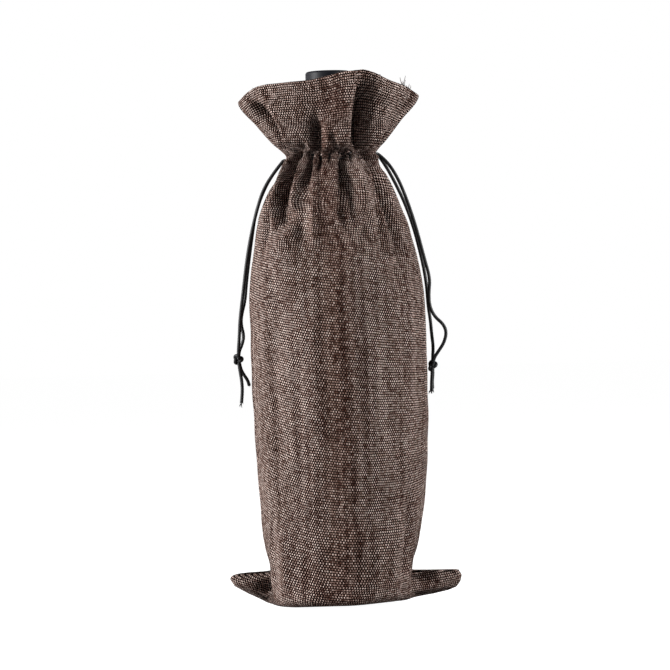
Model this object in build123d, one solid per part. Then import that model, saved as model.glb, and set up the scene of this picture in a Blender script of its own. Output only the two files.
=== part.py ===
from build123d import *
import math
import os

# A drawstring bag for one bottle of wine, standing filled and tied.
# Millimetres, +Z up. The origin is on the ground, at the middle of the bag's base.
# -Y is the bag's front, -X its left, and the two cords leave at the left and at the right.

# Cloth
cloth = 1.0                  # thickness of the woven cloth, and of the seams' layers
gap = 0.15                   # free play between two layers sewn together

# Levels
casing_low = 262.0           # lower row of stitching of the cord casing
casing_top = 277.0           # upper row of stitching of the cord casing
casing_step = 2.5            # height over which the facing comes away from the panel
rim_top = 322.0              # above the highest point of the rim

# Channel in the casing, between the panel and its facing
channel = 2.6

# The drawn neck of the bag, outside the cloth
neck_half_width = 26.4
neck_half_depth = 21.0
neck_top = 272.0

# Outline of the filled bag: height, middle of the section, half width, half depth.
# Up to the shoulder the girth stays near 292, twice the width of the bag laid flat.
bag_sections = [
    (0.0, -0.3, 39.6, 37.9),
    (4.0, -0.2, 41.2, 38.9),
    (22.0, -0.3, 42.2, 39.2),
    (56.0, 1.3, 47.7, 40.2),
    (96.0, 1.9, 50.8, 40.4),
    (153.0, 1.7, 52.2, 40.1),
    (183.0, 1.4, 52.4, 39.9),
    (207.0, 1.4, 49.4, 38.9),
    (231.0, 0.4, 44.8, 36.4),
    (245.0, 0.4, 39.4, 32.0),
    (256.0, 0.8, 33.4, 27.0),
    (267.0, 0.0, neck_half_width, neck_half_depth),
    (neck_top, 0.0, neck_half_width, neck_half_depth),
    (277.0, -1.0, 35.4, 24.0),
    (288.0, -0.9, 43.7, 27.5),
    (303.0, -0.5, 54.0, 31.0),
    (rim_top, -0.5, 55.5, 33.0),
]
rim_points = [(-60, 297), (-54.5, 302.5), (-40, 311.6), (-12, 314.2), (19, 319.3), (43, 311.6), (60, 299)]

# Corners of the flat bag that stand out at the base: outline in X and Z, and the same
# corner's inner outline at the ear's half depth.
ear_half_depth = 7.0
left_ear_edge = [
    (-38, 2.6), (-46, 3.0), (-57, 8.4), (-64.6, 12.8), (-67.4, 17.5), (-65, 20.2), (-57, 21), (-38, 21),
]
left_ear_face = [
    (-38, 5), (-42, 5.5), (-47, 8.5), (-51, 11.5), (-53, 14.5), (-52, 16.5), (-48, 17.5), (-38, 18),
]
right_ear_edge = [
    (38, 3.0), (47, 3.8), (60, 6.4), (68.5, 9.1), (71.8, 16.2), (67.5, 20.6), (59, 21.2), (38, 20),
]
right_ear_face = [
    (38, 5), (43, 6), (49, 8.2), (54, 10.4), (56, 14), (54, 16.6), (49, 17.4), (38, 17.6),
]

# Seam allowances, inside the bag
allowance_width = 10.0       # both layers laid open
allowance = 1.9              # thickness of the folded layers
side_seam_low = 6.0
side_seam_top = 258.0
bottom_seam_half = 37.0      # half the length of the bottom seam's folded edges
bottom_seam_play = 0.3       # between the bottom seam and the glass
bottom_seam_round = 2.0

# Thread
thread = 0.6                 # diameter of the sewing thread
lower_thread_inset = 3.8     # from the outside of the bag to the middle of each row's thread
upper_thread_inset = 3.4
lower_thread_rise = 0.8      # how far the lower row runs above the facing's edge

# Cords
cord = 2.0                   # diameter
exit_x = 28.3                # where a strand comes clear of the casing
loop_end_x = 27.0            # where the stretch inside the casing ends
exit_spacing = 3.0           # from one strand to the other at the exit
slot_x = 26.0                # middle of the gap in a side seam that both strands leave by
slot_length = 8.0
slot_play = 1.2              # how much wider and taller the gap is than the cord
left_loop_level = 267.3      # height at which the left cord runs in the casing, and leaves it
right_loop_level = 269.8
loop_step = 30               # degrees from one corner of the casing loop to the next
loop_first = 30
loop_inward = 0.15           # how far inside the channel's middle a cord turns to leave by its slot
corner_share = 0.45          # how much of the shorter run beside a corner its arc may take

# Knots
left_knot_half_width = 3.5
left_knot_tilt = 35          # degrees
right_knot_half_width = 3.2
right_knot_tilt = 60
knot_core_inset = 0.5        # the core's surface inside the first wrap's
knot_second_inset = 1.15     # the second wrap's line inside the knot's half width
knot_second_rise = 0.4
knot_first_turn = 25         # degrees that each wrap is turned about Y
knot_second_turn = -20

# Bottle
bottle_floor = 2.75          # underside of the glass, on the bottom seam
bottle_radius = 36.8
bottle_base_round = 6.0
shoulder_low = 190.0
neck_low = 236.0
neck_low_radius = 14.6
shoulder_rise = 24.0         # how long the shoulder keeps on upward from the wall
shoulder_fall = 20.0         # how long it keeps on downward from the neck
shoulder_lead = 1.0          # how far outward it leans there
finish_low = 300.0
neck_radius = 13.3
bottle_top = 319.6
lip_round = 1.5
wall = 3.0
punt_radius = 26.0
punt_height = 18.0
punt_shoulder = 0.45         # share of the punt's radius that stays near its height inside
punt_shoulder_fall = 1.5
cavity_foot = 4.0            # height over which the inside turns from its floor to its wall
bore_radius = 9.3
bore_low = 22.0              # where the bore begins, above the neck's lower end
cork_length = 45.0
cork_inset = 2.0
cork_chamfer = 0.6
wine_level = 258.0
capsule_low = 258.0
capsule_wall = 0.4
capsule_gap = 0.05
capsule_top_round = 1.6

# Half the size of the blocks that cut the parts apart: larger than the whole bag
reach = 340.0


def section_at(height):
    """The bag's section at a height: its middle in X, half width and half depth."""
    for low, high in zip(bag_sections, bag_sections[1:]):
        if height <= high[0]:
            share = (height - low[0]) / (high[0] - low[0])
            return tuple(a + share * (b - a) for a, b in zip(low[1:], high[1:]))
    return bag_sections[-1][1:]


def bag_solid(insets):
    """A solid with the bag's outline, set in by a distance at each of the heights given."""
    faces = []
    for height, inset in insets:
        middle, half_width, half_depth = section_at(height)
        faces.append(Pos(middle, 0, height) * Ellipse(half_width - inset, half_depth - inset))
    return loft(faces, ruled=True)


def heights_from(low, high):
    """The heights of the bag's sections between two levels, with the levels themselves."""
    between = [s[0] for s in bag_sections if low < s[0] < high]
    return [low] + between + [high]


def even_solid(inset, low=0.0, high=rim_top):
    return bag_solid([(height, inset) for height in heights_from(low, high)])


def above_rim():
    """What is above the bag's wavy rim."""
    edge = Spline([(x, 0, z) for x, z in rim_points])
    first = rim_points[0]
    last = rim_points[-1]
    outline = edge + Polyline(
        (last[0], 0, last[1]), (last[0], 0, reach), (first[0], 0, reach), (first[0], 0, first[1])
    )
    return extrude(make_face(outline), amount=reach, both=True)


def half(side):
    """Everything on one side of the plane of the side seams: -1 is the front, 1 the back."""
    return Pos(0, side * reach / 2, 0) * Box(2 * reach, reach, 2 * reach)


def exit_slots():
    """The two gaps in the side seams that the cords leave by."""
    slot = Box(slot_length, exit_spacing + cord + slot_play, cord + slot_play)
    return Pos(-slot_x, 0, left_loop_level) * slot + Pos(slot_x, 0, right_loop_level) * slot


def ear(edge, face, side):
    """Half of a corner of the flat bag, in front of or behind its seam."""
    on_seam = Plane.XZ * make_face(Polyline(edge, close=True))
    out = Plane.XZ.offset(-side * ear_half_depth) * make_face(Polyline(face, close=True))
    return loft([on_seam, out], ruled=True)


def panel(side):
    """The front or back piece of cloth, from the bottom seam to the rim."""
    inside = bag_solid([(max(h, cloth), cloth) for h in heights_from(0.0, rim_top)])
    body = even_solid(0.0)
    left = ear(left_ear_edge, left_ear_face, side)
    right = ear(right_ear_edge, right_ear_face, side)
    return (body + left + right - inside - above_rim() - exit_slots()) & half(side)


def facing(side):
    """The turned-in top of a panel: it lines the collar and makes the casing for the cords."""
    close = cloth + gap
    apart = cloth + channel
    levels = [(casing_low, close)]
    levels += [(height, apart) for height in heights_from(casing_low + casing_step, neck_top)]
    levels += [(height, close) for height in heights_from(casing_top, rim_top)]
    outer = bag_solid(levels)
    inner = bag_solid([(height, inset + cloth) for height, inset in levels])
    return (outer - inner - above_rim()) & half(side)


def side_seam(side):
    """The two raw edges of a side seam, pressed open inside the bag: -1 is the left."""
    outer = even_solid(cloth + gap, side_seam_low, side_seam_top)
    inner = even_solid(cloth + gap + allowance, side_seam_low, side_seam_top)
    strip = Pos(side * reach / 2, 0, 0) * Box(reach, allowance_width, 2 * reach)
    return (outer - inner) & strip


def bottom_seam():
    """The raw edges of the bottom seam, folded flat under the bottle."""
    thickness = bottle_floor - bottom_seam_play - cloth - gap
    strip = Box(2 * bottom_seam_half, allowance_width, thickness)
    strip = fillet(strip.edges().filter_by(Axis.Z), bottom_seam_round)
    base_middle = section_at(0.0)[0]
    return Pos(base_middle, 0, cloth + gap + thickness / 2) * strip


def stitching(height, inset):
    """A row of thread round the inside of the facing."""
    middle, half_width, half_depth = section_at(height)
    oval = Edge.make_ellipse(half_width - inset, half_depth - inset)
    path = Pos(middle, 0, height) * oval
    profile = Plane(path @ 0, z_dir=path % 0) * Circle(thread / 2)
    return sweep(profile, path=path)


def corner_radii(name, points):
    """The largest radius that each corner of a cord's route has room for."""
    route = [Vector(*p) for p in points]
    radii = []
    for before, corner, after in zip(route, route[1:], route[2:]):
        turn = math.radians((corner - before).get_angle(after - corner))
        shorter = min((corner - before).length, (after - corner).length)
        radii.append(corner_share * shorter / math.tan(turn / 2))
    print(name, "radii", [round(r, 1) for r in radii])
    return radii


def cord_tube(name, points):
    """A length of cord along straight runs joined by tangent arcs."""
    path = FilletPolyline(*points, radius=corner_radii(name, points))
    profile = Plane(path @ 0, z_dir=path % 0) * Circle(cord / 2)
    tube = sweep(profile, path=path)
    expected = math.pi * cord**2 / 4 * path.length
    print(name, "length", round(path.length, 1), "volume share", round(tube.volume / expected, 4))
    return tube


def cord_loop(name, side, level):
    """The stretch of a cord that is inside the casing, out and back on the cord's own side."""
    middle_inset = cloth + channel / 2
    half_width = neck_half_width - middle_inset
    half_depth = neck_half_depth - middle_inset
    corner = 1 / math.cos(math.radians(loop_step / 2))
    y = exit_spacing / 2
    points = [(side * loop_end_x, -y, level), (side * (half_width - loop_inward), -y, level)]
    for angle in range(loop_first, 361 - loop_first, loop_step):
        x = side * half_width * corner * math.cos(math.radians(angle))
        points.append((x, -half_depth * corner * math.sin(math.radians(angle)), level))
    points += [(side * (half_width - loop_inward), y, level), (side * loop_end_x, y, level)]
    return cord_tube(name, points)


strand_routes = {
    "left_front_strand": [
        (-exit_x, -1.5, 267.3), (-34.4, -1.7, 260.2), (-41.4, -2.0, 249.4), (-45.6, -2.2, 236.0),
        (-48.8, -2.4, 224.0), (-51.9, -2.3, 208.6), (-54.8, -2.1, 188.0), (-57.0, -1.9, 173.0),
        (-57.7, -1.6, 162.0), (-58.6, -1.2, 153.2),
    ],
    "left_back_strand": [
        (-exit_x, 1.5, 267.3), (-34.0, 1.7, 261.0), (-40.6, 2.0, 250.4), (-46.0, 2.1, 236.4),
        (-48.2, 2.2, 224.0), (-50.3, 2.3, 208.6), (-52.4, 2.2, 193.5), (-53.3, 2.0, 184.0),
        (-56.0, 1.7, 176.0), (-56.6, 1.5, 170.0), (-54.9, 1.4, 163.0), (-56.2, 1.3, 157.8),
        (-58.4, 1.2, 153.2),
    ],
    "right_front_strand": [
        (exit_x, -1.5, 269.8), (33.4, -1.6, 265.8), (39.8, -1.8, 255.6), (45.4, -2.1, 241.0),
        (50.2, -2.4, 224.8), (54.3, -2.5, 207.2), (57.6, -2.4, 194.4), (56.6, -2.3, 186.0),
        (56.7, -2.2, 178.0), (59.6, -2.0, 171.4), (65.0, -1.8, 166.6), (66.6, -1.6, 161.4),
        (64.8, -1.4, 155.4), (61.6, -1.3, 150.8), (58.6, -1.2, 146.6),
    ],
    "right_back_strand": [
        (exit_x, 1.5, 269.8), (32.6, 1.6, 263.4), (37.4, 1.8, 254.4), (43.8, 2.1, 240.4),
        (48.8, 2.3, 225.2), (52.0, 2.4, 211.4), (54.2, 2.4, 200.4), (55.6, 2.3, 189.4),
        (56.0, 2.1, 178.6), (57.2, 1.8, 169.6), (57.7, 1.6, 161.0), (58.5, 1.4, 153.4),
        (57.9, 1.2, 146.6),
    ],
}
tail_routes = {
    "left_long_tail": [
        (-58.5, -1.1, 147.4), (-57.9, -1.2, 142.4), (-56.9, -1.3, 135.8), (-56.7, -1.2, 129.0),
        (-57.5, -1.1, 122.8),
    ],
    "left_short_tail": [
        (-58.2, 1.1, 147.6), (-57.4, 1.3, 143.0), (-55.4, 1.4, 139.2), (-53.2, 1.4, 136.0),
        (-52.6, 1.3, 133.0),
    ],
    "right_long_tail": [
        (57.4, -1.1, 140.4), (57.0, -1.2, 136.4), (56.3, -1.3, 131.8), (56.0, -1.2, 126.6),
    ],
    "right_short_tail": [
        (57.8, 1.1, 140.4), (57.8, 1.2, 136.6), (57.2, 1.3, 132.4), (57.4, 1.2, 128.4),
    ],
}
left_knot_centre = (-58.9, 0, 149.0)
right_knot_centre = (57.9, 0, 142.2)


def knot(centre, half_width, tilt):
    """An overhand knot in both strands: a core with two wraps of cord round it."""
    core = Sphere(half_width - knot_core_inset)
    wrap = Rot(tilt, knot_first_turn, 0) * Torus(half_width - cord / 2, cord / 2)
    second = Rot(-tilt, knot_second_turn, 0) * Torus(half_width - knot_second_inset, cord / 2)
    return Pos(*centre) * (core + wrap + Pos(0, 0, knot_second_rise) * second)


def bottle_outline(inset):
    """The glass's outer profile on one side, moved in by a distance, from base to top."""
    base_r = bottle_radius - inset
    base_z = bottle_floor + inset
    low_neck = neck_low_radius - inset
    top_neck = neck_radius - inset
    lower = Line((base_r, base_z + bottle_base_round), (base_r, shoulder_low))
    shoulder = Bezier(
        (base_r, shoulder_low),
        (base_r, shoulder_low + shoulder_rise),
        (low_neck + shoulder_lead, neck_low - shoulder_fall),
        (low_neck, neck_low),
    )
    neck = Line((low_neck, neck_low), (top_neck, finish_low))
    return lower, shoulder, neck


def glass_bottle():
    """The bottle's glass: a hollow body with a punt in its base, shoulders and a straight neck."""
    lower, shoulder, neck = bottle_outline(0.0)
    round_end = (bottle_radius - bottle_base_round, bottle_floor)
    outer = [
        Line((0, bottle_floor), round_end),
        Spline([round_end, lower @ 0], tangents=[(1, 0), (0, 1)]),
        lower,
        shoulder,
        neck,
        Polyline((neck_radius, finish_low), (neck_radius, bottle_top), (0, bottle_top)),
        Line((0, bottle_top), (0, bottle_floor)),
    ]
    solid = revolve(Plane.XZ * make_face(outer), Axis.Z)
    dome = (punt_radius**2 + punt_height**2) / (2 * punt_height)
    punt = Pos(0, 0, bottle_floor + punt_height - dome) * Sphere(dome)
    solid = solid - punt
    solid = fillet(solid.edges().sort_by(Axis.Z)[-1], lip_round)
    return solid - bottle_cavity()


def bottle_cavity():
    """The space inside the glass."""
    in_low, in_shoulder, _ = bottle_outline(wall)
    floor = bottle_floor + punt_height + wall
    foot = in_low @ 0 + (0, cavity_foot)
    above = bottle_top + wall
    outline = [
        Polyline((0, floor), (punt_radius * punt_shoulder, floor - punt_shoulder_fall), foot),
        Line(foot, in_low @ 1),
        in_shoulder,
        Polyline(in_shoulder @ 1, (bore_radius, neck_low + bore_low), (bore_radius, above)),
        Line((bore_radius, above), (0, above)),
        Line((0, above), (0, floor)),
    ]
    return revolve(Plane.XZ * make_face(outline), Axis.Z)


def wine_fill():
    """The wine, as a firm body that fills the bottle to its level."""
    below = Pos(0, 0, wine_level / 2) * Box(reach, reach, wine_level)
    return bottle_cavity() & below


def cork():
    """The cork stopper, pressed into the neck."""
    top = bottle_top - cork_inset
    plug = Cylinder(bore_radius, cork_length)
    plug = chamfer(plug.edges(), cork_chamfer)
    return Pos(0, 0, top - cork_length / 2) * plug


def capsule():
    """The foil cap shrunk over the top of the bottle."""
    def shell(grow, low, top):
        taper = (neck_radius - neck_low_radius) / (finish_low - neck_low)
        low_radius = neck_low_radius + taper * (low - neck_low)
        profile = Polyline(
            (0, low),
            (low_radius + grow, low),
            (neck_radius + grow, finish_low),
            (neck_radius + grow, top),
            (0, top),
            close=True,
        )
        body = revolve(Plane.XZ * make_face(profile), Axis.Z)
        return fillet(body.edges().sort_by(Axis.Z)[-1], capsule_top_round)
    outer = shell(capsule_gap + capsule_wall, capsule_low, bottle_top + capsule_gap + capsule_wall)
    inner = shell(capsule_gap, capsule_low, bottle_top + capsule_gap)
    return outer - inner


def build():
    nodes = {
        "front_panel": panel(-1),
        "back_panel": panel(1),
        "front_facing": facing(-1),
        "back_facing": facing(1),
        "left_side_seam": side_seam(-1),
        "right_side_seam": side_seam(1),
        "bottom_seam": bottom_seam(),
        "lower_casing_stitching": stitching(casing_low + lower_thread_rise, lower_thread_inset),
        "upper_casing_stitching": stitching(casing_top, upper_thread_inset),
        "left_cord_in_casing": cord_loop("left_cord_in_casing", -1, left_loop_level),
        "right_cord_in_casing": cord_loop("right_cord_in_casing", 1, right_loop_level),
        "left_knot": knot(left_knot_centre, left_knot_half_width, left_knot_tilt),
        "right_knot": knot(right_knot_centre, right_knot_half_width, right_knot_tilt),
        "glass_bottle": glass_bottle(),
        "cork": cork(),
        "capsule": capsule(),
        "wine_fill": wine_fill(),
    }
    for name, route in {**strand_routes, **tail_routes}.items():
        nodes[name] = cord_tube(name, route)
    return nodes


os.makedirs("parts", exist_ok=True)
for name, shape in build().items():
    export_step(shape, f"parts/{name}.step")
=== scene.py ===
import math
import bpy
import numpy as np
from mathutils import Matrix, Vector


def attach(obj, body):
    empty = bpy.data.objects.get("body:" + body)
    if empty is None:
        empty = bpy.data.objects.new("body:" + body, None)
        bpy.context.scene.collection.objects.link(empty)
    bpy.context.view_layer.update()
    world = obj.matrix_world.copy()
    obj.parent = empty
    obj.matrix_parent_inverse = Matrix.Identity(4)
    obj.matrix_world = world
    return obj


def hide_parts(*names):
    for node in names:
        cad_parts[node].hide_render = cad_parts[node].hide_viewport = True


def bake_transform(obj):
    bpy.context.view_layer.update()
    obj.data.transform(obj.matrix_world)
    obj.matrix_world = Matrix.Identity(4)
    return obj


# A burlap wine gift bag, standing filled and tied. The script works in metres; the outlines and
# routes below are given in millimetres and are scaled by MM. -Y is the front, -X the left.

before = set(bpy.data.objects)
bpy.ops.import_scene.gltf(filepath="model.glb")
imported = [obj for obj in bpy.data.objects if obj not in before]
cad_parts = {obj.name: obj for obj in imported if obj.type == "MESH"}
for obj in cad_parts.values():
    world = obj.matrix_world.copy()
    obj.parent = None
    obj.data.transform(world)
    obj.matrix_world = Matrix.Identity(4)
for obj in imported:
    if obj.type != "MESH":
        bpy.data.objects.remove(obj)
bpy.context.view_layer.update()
MM = 0.001
SEED = 7
TINY = 1e-9                  # keeps a division by nothing from failing

# Camera
CAMERA_DISTANCE = 2.0
CAMERA_HEIGHT = 0.162
CAMERA_SIDE = -0.0003
VIEW_WIDTH = 0.402           # what the picture's width spans at the middle of the bag
SENSOR = 36.0
CAMERA_ROLL = math.radians(1.6)

# Light and floor
FILL_LIGHT = 0.018           # the world's own light, beside what the camera sees of it
FLOOR_GLOW = 0.99
FLOOR_REACH = 14.0
LIGHT_AIM = (0, 0, 0.19)
SOFTBOXES = {                # place, width and height in metres, and power in watts
    "left_softbox": ((-1.34, -0.36, 0.56), (0.36, 0.8), 54.0),
    "right_softbox": ((1.36, -0.38, 0.54), (0.36, 0.8), 34.5),
    "left_rear_softbox": ((-1.0, 1.0, 0.6), (0.6, 0.9), 2.6),
    "right_rear_softbox": ((1.0, 1.0, 0.6), (0.6, 0.9), 2.6),
    "top_softbox": ((-0.5, -1.3, 0.9), (0.6, 0.5), 3.0),
}
WHITE = (1, 1, 1, 1)


# ---------------------------------------------------------------- helpers

def in_scene(name, data):
    """An object with the data given, put in the scene."""
    obj = bpy.data.objects.new(name, data)
    bpy.context.collection.objects.link(obj)
    return obj


def mesh_object(name, verts, faces, material):
    """A smooth mesh piece from points in millimetres."""
    mesh = bpy.data.meshes.new(name)
    mesh.from_pydata([tuple(float(c) * MM for c in v) for v in verts], [], [tuple(f) for f in faces])
    mesh.validate()
    mesh.update()
    mesh.polygons.foreach_set("use_smooth", [True] * len(mesh.polygons))
    mesh.materials.append(material)
    return in_scene(name, mesh)


def set_inputs(node, values):
    """Sets a node's sockets by their names."""
    for socket, value in values.items():
        node.inputs[socket].default_value = value


def grid_faces(rows, columns, closed=False, flip=False):
    """Quads over a grid of points stored row by row."""
    faces = []
    last = columns if closed else columns - 1
    for r in range(rows - 1):
        for c in range(last):
            n = (c + 1) % columns
            quad = (r * columns + c, r * columns + n, (r + 1) * columns + n, (r + 1) * columns + c)
            faces.append(quad[::-1] if flip else quad)
    return faces


def grid_uv(obj, u, v):
    """Writes each point's cloth coordinates, in metres of cloth, as its UV."""
    layer = obj.data.uv_layers.new(name="cloth")
    index = np.empty(len(obj.data.loops), dtype=np.int32)
    obj.data.loops.foreach_get("vertex_index", index)
    uv = np.stack([u.ravel()[index], v.ravel()[index]], axis=1) * MM
    layer.data.foreach_set("uv", uv.ravel().astype(np.float32))


def smooth_curve(x, xs, ys):
    """A smooth curve through the points given, without overshoot."""
    xs = np.asarray(xs, float)
    ys = np.asarray(ys, float)
    step = np.diff(xs)
    rise = np.diff(ys) / step
    slope = np.zeros(len(xs))
    same = rise[:-1] * rise[1:] > 0
    mean = 2 * rise[:-1] * rise[1:] / np.where(same, rise[:-1] + rise[1:], 1.0)
    slope[1:-1] = np.where(same, mean, 0.0)
    slope[0] = rise[0]
    slope[-1] = rise[-1]
    x = np.clip(np.asarray(x, float), xs[0], xs[-1])
    i = np.clip(np.searchsorted(xs, x, side="right") - 1, 0, len(step) - 1)
    t = (x - xs[i]) / step[i]
    a = ys[i] * (1 + 2 * t) * (1 - t) ** 2 + slope[i] * step[i] * t * (1 - t) ** 2
    b = ys[i + 1] * t * t * (3 - 2 * t) - slope[i + 1] * step[i] * t * t * (1 - t)
    return a + b


def ease(x):
    """0 below 0, 1 above 1, and smooth between."""
    x = np.clip(x, 0.0, 1.0)
    return x * x * (3 - 2 * x)


def fade_in(x, start, length):
    """0 up to the start, and 1 from a length further on."""
    return ease((x - start) / length)


def fade_out(x, end, length):
    """1 until a length before the end, and 0 from there on."""
    return ease((end - x) / length)


def bell(x):
    """1 at 0, falling off smoothly to both sides."""
    return np.exp(-x ** 2)


def lengths_along(*coordinates):
    """The length along a line from its first point to each of its points."""
    steps = np.linalg.norm(np.diff(np.array(coordinates), axis=1), axis=0)
    return np.concatenate([[0], np.cumsum(steps)])


def lengths_level(x, y):
    """The same for a line at one height."""
    return np.concatenate([[0], np.cumsum(np.hypot(np.diff(x), np.diff(y)))])


def noise_table(rng, count):
    """Sums of sines with random phases: a smooth noise of two coordinates, about -1 to 1."""
    angle = rng.uniform(0, 2 * math.pi, count)
    phase = rng.uniform(0, 2 * math.pi, count)
    pitch = rng.uniform(0.7, 1.5, count)

    def noise(x, y, scale):
        total = 0.0
        for a, p, k in zip(angle, phase, pitch):
            total = total + np.sin((x * math.cos(a) + y * math.sin(a)) * 2 * math.pi * k / scale + p)
        return total / math.sqrt(count) * 0.8
    return noise


# ---------------------------------------------------------------- camera, light and floor

def make_camera():
    data = bpy.data.cameras.new("camera")
    data.sensor_width = SENSOR
    data.lens = SENSOR * CAMERA_DISTANCE / VIEW_WIDTH
    data.clip_start = 0.01
    data.clip_end = 50.0
    camera = in_scene("camera", data)
    right = Vector((math.cos(CAMERA_ROLL), 0, -math.sin(CAMERA_ROLL)))
    up = Vector((math.sin(CAMERA_ROLL), 0, math.cos(CAMERA_ROLL)))
    back = Vector((0, -1, 0))
    turn = Matrix((right, up, back)).transposed().to_4x4()
    camera.matrix_world = Matrix.Translation((CAMERA_SIDE, -CAMERA_DISTANCE, CAMERA_HEIGHT)) @ turn
    bpy.context.scene.camera = camera


def make_lights():
    """A large soft light at each side, weaker ones behind and in front, and a white world."""
    for name, (place, size, power) in SOFTBOXES.items():
        data = bpy.data.lights.new(name, "AREA")
        data.shape = "RECTANGLE"
        data.size, data.size_y = size
        data.energy = power
        light = in_scene(name, data)
        light.location = place
        light.rotation_euler = (Vector(LIGHT_AIM) - Vector(place)).to_track_quat("-Z", "Y").to_euler()
    world = bpy.data.worlds.new("studio")
    world.use_nodes = True
    tree = world.node_tree
    shown = tree.nodes["Background"]
    set_inputs(shown, {"Color": WHITE, "Strength": 1.0})
    fill = tree.nodes.new("ShaderNodeBackground")
    set_inputs(fill, {"Color": WHITE, "Strength": FILL_LIGHT})
    mix = tree.nodes.new("ShaderNodeMixShader")
    rays = tree.nodes.new("ShaderNodeLightPath")
    tree.links.new(rays.outputs["Is Camera Ray"], mix.inputs["Fac"])
    tree.links.new(fill.outputs[0], mix.inputs[1])
    tree.links.new(shown.outputs[0], mix.inputs[2])
    tree.links.new(mix.outputs[0], tree.nodes["World Output"].inputs["Surface"])
    bpy.context.scene.world = world
    bpy.context.scene.view_settings.view_transform = "Standard"


def make_floor():
    """A pale floor that the camera sees as white."""
    floor = bpy.data.meshes.new("floor")
    corners = [(x * FLOOR_REACH, y * FLOOR_REACH, 0) for x, y in ((-1, -1), (1, -1), (1, 1), (-1, 1))]
    floor.from_pydata(corners, [], [(0, 1, 2, 3)])
    obj = in_scene("floor", floor)
    n = Nodes("floor_white")
    set_inputs(n.shader, {"Base Color": (0.3, 0.3, 0.3, 1), "Roughness": 0.95, "Specular IOR Level": 0.0,
                          "Emission Color": WHITE})
    seen = n.add("LightPath").outputs["Is Camera Ray"]
    n.link(n.math("MULTIPLY", seen, FLOOR_GLOW), n.shader.inputs["Emission Strength"])
    floor.materials.append(n.material)


# ---------------------------------------------------------------- materials

class Nodes:
    """Short names for building a material's node tree."""

    def __init__(self, name):
        self.material = bpy.data.materials.new(name)
        self.material.use_nodes = True
        self.tree = self.material.node_tree
        self.shader = self.tree.nodes["Principled BSDF"]

    def add(self, kind, **settings):
        node = self.tree.nodes.new("ShaderNode" + kind)
        for name, value in settings.items():
            setattr(node, name, value)
        return node

    def link(self, source, target):
        self.tree.links.new(source, target)

    def feed(self, socket, value):
        if isinstance(value, (int, float)):
            socket.default_value = value
        elif isinstance(value, tuple):
            socket.default_value = (*value, 1)
        else:
            self.link(value, socket)

    def math(self, operation, *values):
        node = self.add("Math", operation=operation)
        for socket, value in zip(node.inputs, values):
            self.feed(socket, value)
        return node.outputs[0]

    def times(self, a, b):
        return self.math("MULTIPLY", a, b)

    def scaled(self, value, factor, plus):
        return self.math("MULTIPLY_ADD", value, factor, plus)

    def combine(self, x, y, z=0.0):
        node = self.add("CombineXYZ")
        for socket, value in zip(node.inputs, (x, y, z)):
            self.feed(socket, value)
        return node.outputs[0]

    def place(self):
        return self.add("TexCoord").outputs["Object"]

    def noise(self, vector, scale, detail=2.0, roughness=0.5):
        node = self.add("TexNoise")
        self.link(vector, node.inputs["Vector"])
        set_inputs(node, {"Scale": scale, "Detail": detail, "Roughness": roughness})
        return node.outputs["Fac"]

    def ramp(self, value, stops):
        node = self.add("ValToRGB")
        self.link(value, node.inputs["Fac"])
        ramp = node.color_ramp
        while len(ramp.elements) < len(stops):
            ramp.elements.new(0.5)
        for element, (place, colour) in zip(ramp.elements, stops):
            element.position = place
            element.color = (*colour, 1)
        return node.outputs["Color"]

    def mix(self, factor, a, b):
        node = self.add("Mix", data_type="RGBA")
        for socket, value in (("Factor", factor), ("A", a), ("B", b)):
            self.feed(node.inputs[socket], value)
        return node.outputs["Result"]

    def bump(self, height, distance, strength):
        node = self.add("Bump")
        set_inputs(node, {"Distance": distance, "Strength": strength})
        self.link(height, node.inputs["Height"])
        return node.outputs["Normal"]

    def surface(self, colour, roughness, normal=None, fixed=None):
        """Links the shader's colour, roughness and normal, and sets what is the same all over."""
        self.link(colour, self.shader.inputs["Base Color"])
        self.link(roughness, self.shader.inputs["Roughness"])
        if normal is not None:
            self.link(normal, self.shader.inputs["Normal"])
        set_inputs(self.shader, fixed or {})
        return self.material


def srgb(*values):
    """A linear colour from 0 to 255 display values."""
    shares = (c / 255 for c in values)
    return tuple(c / 12.92 if c <= 0.04045 else ((c + 0.055) / 1.055) ** 2.4 for c in shares)


WARP_PITCH = 0.00066         # from one upright yarn to the next
WEFT_PITCH = 0.00150         # from one level yarn to the next
WEAVE_WAVE = 0.45            # how far a yarn rises and sinks, beside its roundness
YARN_ROUND = 0.55
WARP_SUNK = 0.56             # the upright yarns lie this much lower than the level ones
STRIPE_PLACE = 0.0681        # of the wide stripe, across the cloth from its left edge
STRIPE_WIDTH = 0.0075
WARP_WANDER = (90.0, 1.6)    # scale of the noise that bends the yarns, and how far it moves them, in pitches
WEFT_WANDER = (80.0, 0.9)
STRIPE_SCALES = (260.0, 9.0)  # of the noise of the stripes, across the cloth and along it
STRIPE_PROUD = 0.6           # how much prouder the upright yarns stand in the stripes
WIDE_STRIPE_PROUD = 0.14
FLECK_NOISE = (1.0, 3.0, 0.6)  # scale, detail and roughness
FLECK_CHANGE = (1.12, -0.06)  # factor and shift of each noise below, as it changes the colour
STRIPE_CHANGE = (0.38, -0.18)
PATCH_CHANGE = (0.18, -0.08)
PATCH_SCALE = 60.0
WIDE_STRIPE_DARK = -0.12
FIBRE_SHARE = 0.34           # how much of the fibres' colour there is at most
FIBRE_PROUD = 0.12
RELIEF = 0.0006              # height of the weave's relief
WARP_COLOURS = [(0.30, srgb(48, 23, 16)), (0.48, srgb(118, 90, 80)), (0.62, srgb(182, 156, 146)),
                (0.78, srgb(236, 213, 204))]
WEFT_COLOURS = [(0.26, srgb(90, 60, 51)), (0.44, srgb(174, 145, 134)), (0.60, srgb(228, 203, 193)),
                (0.76, srgb(252, 230, 219))]
FIBRE_COLOUR = srgb(50, 31, 25)
# painted shade for the gaps between the yarns' crowns, where the yarns would shadow each other
GAP_SHADE = srgb(12, 4, 2)


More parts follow.
